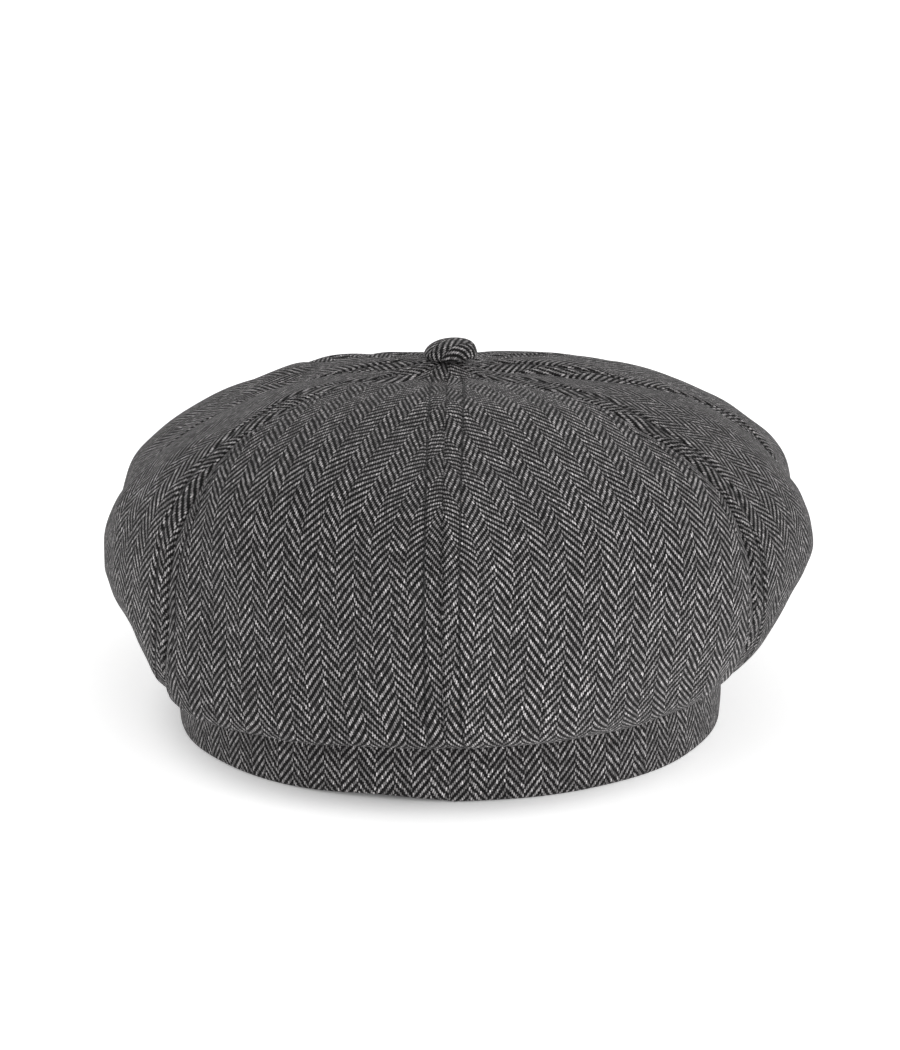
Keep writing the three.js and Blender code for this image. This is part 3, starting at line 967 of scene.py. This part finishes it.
def add_patch(name, node, material, inset, centre, width, thickness):
    """A flat piece of ribbon on the inner face of the sweatband, with its corners lifting a little."""
    low, high = (corner[2] for corner in box_mm(node))
    half = math.degrees(width / 2 / BAND_HALF_LENGTH)
    across = np.linspace(-1, 1, 25)
    level = np.linspace(low, high, 31)[:, None]
    lifted = RIBBON_LIFT * np.abs(across[None, :]) ** 4 * np.linspace(1, -1, 31)[:, None] ** 4
    outer = band_point(centre + half * across[None, :], inset + lifted, level)
    uv = np.stack(np.broadcast_arrays(across[None, :] * width / 2, level), axis=-1)
    add_sheet(name, outer, uv, thickness, material, [node])


def build_inside_of_band():
    face = build_sweatband() + RIBBON_GAP
    tape_low, tape_high = box_mm("sweatband_joining_tape")
    tape_width = tape_high[0] - tape_low[0]
    add_patch("joining_tape", "sweatband_joining_tape", TAPE, face, 0, tape_width, 0.5)
    tab_low, tab_high = box_mm("size_tab")
    centre = (tab_low + tab_high) / 2
    angle = math.degrees(math.atan2(centre[0], BAND_CENTRE_Y - centre[1]))
    add_patch("folded_size_tab", "size_tab", LABEL, face, angle, SIZE_TAB_WIDTH, 0.4)


# -------------------- visor

under_high = box_mm("visor_under_cover")[1]
top_high = box_mm("visor_top_cover")[1]
VISOR_HALF_ANGLE = 60
VISOR_DEPTH = under_high[1] - band_high[1] - 0.5
VISOR_END_DEPTH = 3.0
VISOR_ARCH = 3.5
VISOR_TOUCHES_AT = 0.6
VISOR_COVER = 1.1
VISOR_THICKNESS = top_high[2] - under_high[2] + VISOR_COVER
VISOR_CROWNING = 0.8
VISOR_ROUNDNESS = 0.75
VISOR_STITCH_INSET = 6.0


def visor_depth(side):
    return mix(VISOR_END_DEPTH, VISOR_DEPTH, (1 - side**2) ** VISOR_ROUNDNESS)


def visor_grid(side, out, level):
    """side runs from -1 to 1 along the band, out from 0 at the band to 1 at the free edge."""
    angle = 180 - side * VISOR_HALF_ANGLE
    root = band_point(angle, -0.5, 0)
    turn = np.radians(angle)
    outward = unit(mix(stack(np.sin(turn), -np.cos(turn), 0), np.array([0, 1.0, 0]), 0.6))
    far = np.abs(side)
    arch = VISOR_ARCH * (1 - (far / VISOR_TOUCHES_AT) ** 2) ** 2
    rise = band_lift(angle) * ((far - VISOR_TOUCHES_AT) / (1 - VISOR_TOUCHES_AT)) ** 2
    edge = np.where(far < VISOR_TOUCHES_AT, arch, rise)
    crowning = VISOR_CROWNING * np.sin(math.pi * np.clip(out, 0, 1)) * (1 - side**2)
    points = root + outward * (visor_depth(side) * out)[..., None]
    points[..., 2] = mix(band_lift(angle), edge, np.clip(out, 0, 1)) + level + crowning
    return points, outward


def build_visor():
    side = np.linspace(-1, 1, 121)[None, :]
    out = np.linspace(0, 1, 41)[:, None]
    side_grid, out_grid = np.broadcast_arrays(side, out)
    top, outward = visor_grid(side_grid, out_grid, VISOR_THICKNESS)
    # The top cover rolls over the edge of the board and is turned in underneath.
    roll = VISOR_THICKNESS / 2
    turns = np.linspace(0, math.pi * 0.75, 10)[1:, None, None]
    rolled = top[-1] + outward[-1] * roll * np.sin(turns) - np.array([0, 0, roll]) * (1 - np.cos(turns))
    top = np.concatenate([top, rolled])
    top[..., 2] += 0.12 * soft_waves(top, 15, 12, 30)
    under, _ = visor_grid(-side_grid, out_grid * 0.985, 0.0)
    under[..., 2] += 0.15 - 0.08 * soft_waves(under, 16, 12, 30)
    for face, outer in (("top", top), ("under", under)):
        weave = lay_cloth(outer, 60)
        add_sheet(f"tweed_visor_{face}", outer, weave, VISOR_COVER, TWEED, [f"visor_{face}_cover"])
    # One row of topstitching runs round the visor, an even distance inside its free edge.
    near = np.linspace(-0.93, 0.93, 161)
    path, _ = visor_grid(near, 1 - VISOR_STITCH_INSET / visor_depth(near), VISOR_THICKNESS)
    add_stitches("visor_topstitching", stitch_row(path, np.broadcast_to([0, 0.05, 1.0], path.shape)))


# -------------------- covered button

BUTTON_RADIUS = (button_high[0] - button_low[0]) / 2
BUTTON_BOTTOM = button_low[2]
BUTTON_HEIGHT = button_high[2] - button_low[2]
BUTTON_WIDEST = 1.4  # height of its widest ring
BUTTON_TUCK = 2.6  # how far the cloth is drawn in under that ring
BUTTON_TILT = 5.0
BUTTON_CLOTH = 0.9
BUTTON_FOLDS = 13
BUTTON_FOLD_DEPTH = 0.035  # as a part of the radius
BUTTON_FOLD_HEIGHT = 3.2
WEAVE_TURN = [[-0.62, 0.78], [0.78, 0.62]]  # lays the button's cloth askew


def button_profile(steps=22):
    """Outer then inner outline of the cover as radius and height, from the top centre round and back."""
    turn = np.linspace(math.pi / 2, -0.62, steps)
    radius = (BUTTON_RADIUS + 0.1) * np.cos(turn) ** 0.72
    climb = np.abs(np.sin(turn))
    rise = np.where(turn > 0, (BUTTON_HEIGHT - BUTTON_WIDEST) * climb**0.95, -BUTTON_TUCK * climb)
    outer = np.stack([radius, BUTTON_BOTTOM + BUTTON_WIDEST + rise], axis=1)
    shrink = (BUTTON_RADIUS - BUTTON_CLOTH) / BUTTON_RADIUS
    inner = outer[::-1] * [shrink, 1] - [0, BUTTON_CLOTH] * np.linspace(0, 1, steps)[:, None]
    outer[0, 0] = inner[-1, 0] = 0
    return outer, inner


def build_button():
    """The tweed cover of the button, gathered under its rim and sewn on a little askew."""
    segments = 72
    outer, inner = button_profile()
    profile = np.concatenate([outer[1:], inner[:-1]])
    angles = np.arange(segments) * 2 * math.pi / segments
    ring = np.stack([np.cos(angles), np.sin(angles)], axis=1)
    heights = np.repeat(profile[:, None, 1:], segments, axis=1)
    points = np.concatenate([profile[:, None, :1] * ring, heights], axis=2)
    spread = np.concatenate([[0], np.cumsum(np.linalg.norm(np.diff(outer, axis=0), axis=1))])
    reach = np.concatenate([spread[1:], spread[::-1][:-1]])
    uv = reach[:, None, None] * ring * 0.92
    low = smooth((BUTTON_BOTTOM + BUTTON_FOLD_HEIGHT - points[..., 2]) / 3.5)
    waves = np.sin(angles * BUTTON_FOLDS + 0.8 * np.sin(angles * 3))
    gather = 1 + BUTTON_FOLD_DEPTH * low * waves
    uneven = 1 + 0.03 * np.sin(angles * 2 + 0.6) + 0.02 * np.sin(angles * 3 + 2)
    points[..., :2] *= (gather * uneven)[..., None]
    tilt = math.tan(math.radians(BUTTON_TILT))
    points[..., 2] += points[..., 0] * tilt * smooth((points[..., 2] - BUTTON_BOTTOM) / 5)
    flat = points.reshape(-1, 3)
    poles = np.array([[0, 0, outer[0, 1]], [0, 0, inner[-1, 1]]])
    flat = np.concatenate([flat, poles]) + [0, BAND_CENTRE_Y + CROWN_AXIS_FORWARD, 0]
    weave = np.concatenate([uv.reshape(-1, 2), [[0, 0], [0, 0]]]) @ np.array(WEAVE_TURN)
    faces = []
    rows = len(profile)
    last = (rows - 1) * segments
    for r in range(rows - 1):
        for k in range(segments):
            a, b = r * segments + k, r * segments + (k + 1) % segments
            faces.append([a, a + segments, b + segments, b])
    for k in range(segments):
        following = (k + 1) % segments
        faces.append([rows * segments, k, following])
        faces.append([rows * segments + 1, last + following, last + k])
    add_object("tweed_button_cover", flat, faces, TWEED, weave, ["button_cover"])


# -------------------- pieces that keep their CAD shape


def finish_hidden_parts():
    """Stiffeners and metal inside the cap keep their CAD shapes and get their own materials."""
    looks = {
        "visor_board": BOARD,
        "button_shell": STEEL,
        "button_back_plate": STEEL,
        "button_washer": STEEL,
    }
    for node, material in looks.items():
        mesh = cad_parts[node].data
        if not mesh.materials:
            mesh.materials.append(material)
        mesh.materials[0] = material


build_crown()
build_headband()
build_lining()
build_label()
build_interfacing()
build_inside_of_band()
build_visor()
build_button()
finish_hidden_parts()

# -------------------- floor, light and camera

SCALE_AT_CAP = 0.33  # millimetres that one pixel of a 900 x 1050 frame shows
FRAME_PIXELS = 1050
CAMERA_DISTANCE = 1500
CAMERA_ELEVATION = 15
CAMERA_AIM_HEIGHT = 61.5
SENSOR = 36


def add_facing(name, data, place, aim):
    """A light or camera at a place, looking at another."""
    piece = bpy.data.objects.new(name, data)
    bpy.context.scene.collection.objects.link(piece)
    piece.location = place
    piece.rotation_mode = "QUATERNION"
    piece.rotation_quaternion = (Vector(aim) - Vector(place)).to_track_quat("-Z", "Y")
    return piece


def build_camera():
    camera = bpy.data.cameras.new("camera")
    camera.sensor_width = SENSOR
    camera.lens = SENSOR * CAMERA_DISTANCE / (SCALE_AT_CAP * FRAME_PIXELS)
    camera.clip_end = 100
    aim = Vector((0, BAND_CENTRE_Y, CAMERA_AIM_HEIGHT)) * MM
    tilt = math.radians(CAMERA_ELEVATION)
    back = Vector((0, -math.cos(tilt), math.sin(tilt)))
    place = aim + back * CAMERA_DISTANCE * MM
    bpy.context.scene.camera = add_facing("camera", camera, place, aim)


# Light and floor: metres, watts, and millimetres on the floor.
WORLD_STRENGTH = 0.77
LIGHT_PLACE = (1.0, -2.5, 0.9)
LIGHT_AIM = (0, 0, 0.05)
LIGHT_SIZE = 1.5
LIGHT_POWER = 24.0
FLOOR_GLOW = 0.50
GLOOM_SIDE = -6.0  # a painted contact shadow: an oval of floor under the cap glows less, and lies away from the light
GLOOM_HALF_WIDTH = 76.0
GLOOM_ENDS = (-16.0, 27.0)  # distances outside the oval


def build_light():
    light = bpy.data.lights.new("front_light", "AREA")
    light.size = LIGHT_SIZE
    light.energy = LIGHT_POWER
    add_facing("front_light", light, LIGHT_PLACE, LIGHT_AIM)


def floor_material():
    """A pale floor that glows a little, to stay near white, with a painted shadow close round the cap where
    it glows less.
    """
    floor = Shader("pale_floor")
    place = floor.object_place()
    split = floor.node("ShaderNodeSeparateXYZ", Vector=place)
    x = (Value(floor, split.outputs[0]) - GLOOM_SIDE) / GLOOM_HALF_WIDTH
    y = (Value(floor, split.outputs[1]) - BAND_CENTRE_Y) / BAND_HALF_LENGTH
    away = ((x * x + y * y) ** 0.5 - 1.0) * BAND_HALF_WIDTH
    glow = away.steps(*GLOOM_ENDS) * FLOOR_GLOW
    mottle = floor.noise(place, 0.02)
    colour = floor.scaled(mottle * 0.02 + 0.99, (0.92, 0.92, 0.92))
    return floor.finish(
        colour, 0.9, Specular_IOR_Level=0.1, Emission_Color=(1, 1, 1, 1), Emission_Strength=glow,
    )


def build_studio():
    bpy.ops.mesh.primitive_plane_add(size=30, location=(0, 0, 0))
    floor = bpy.context.object
    floor.name = "studio_floor"
    floor.data.materials.append(floor_material())
    world = bpy.data.worlds.new("studio")
    bpy.context.scene.world = world
    world.use_nodes = True
    background = world.node_tree.nodes["Background"]
    background.inputs["Color"].default_value = (1, 1, 1, 1)
    background.inputs["Strength"].default_value = WORLD_STRENGTH
    build_light()
    bpy.context.scene.view_settings.view_transform = "Standard"


build_studio()
build_camera()
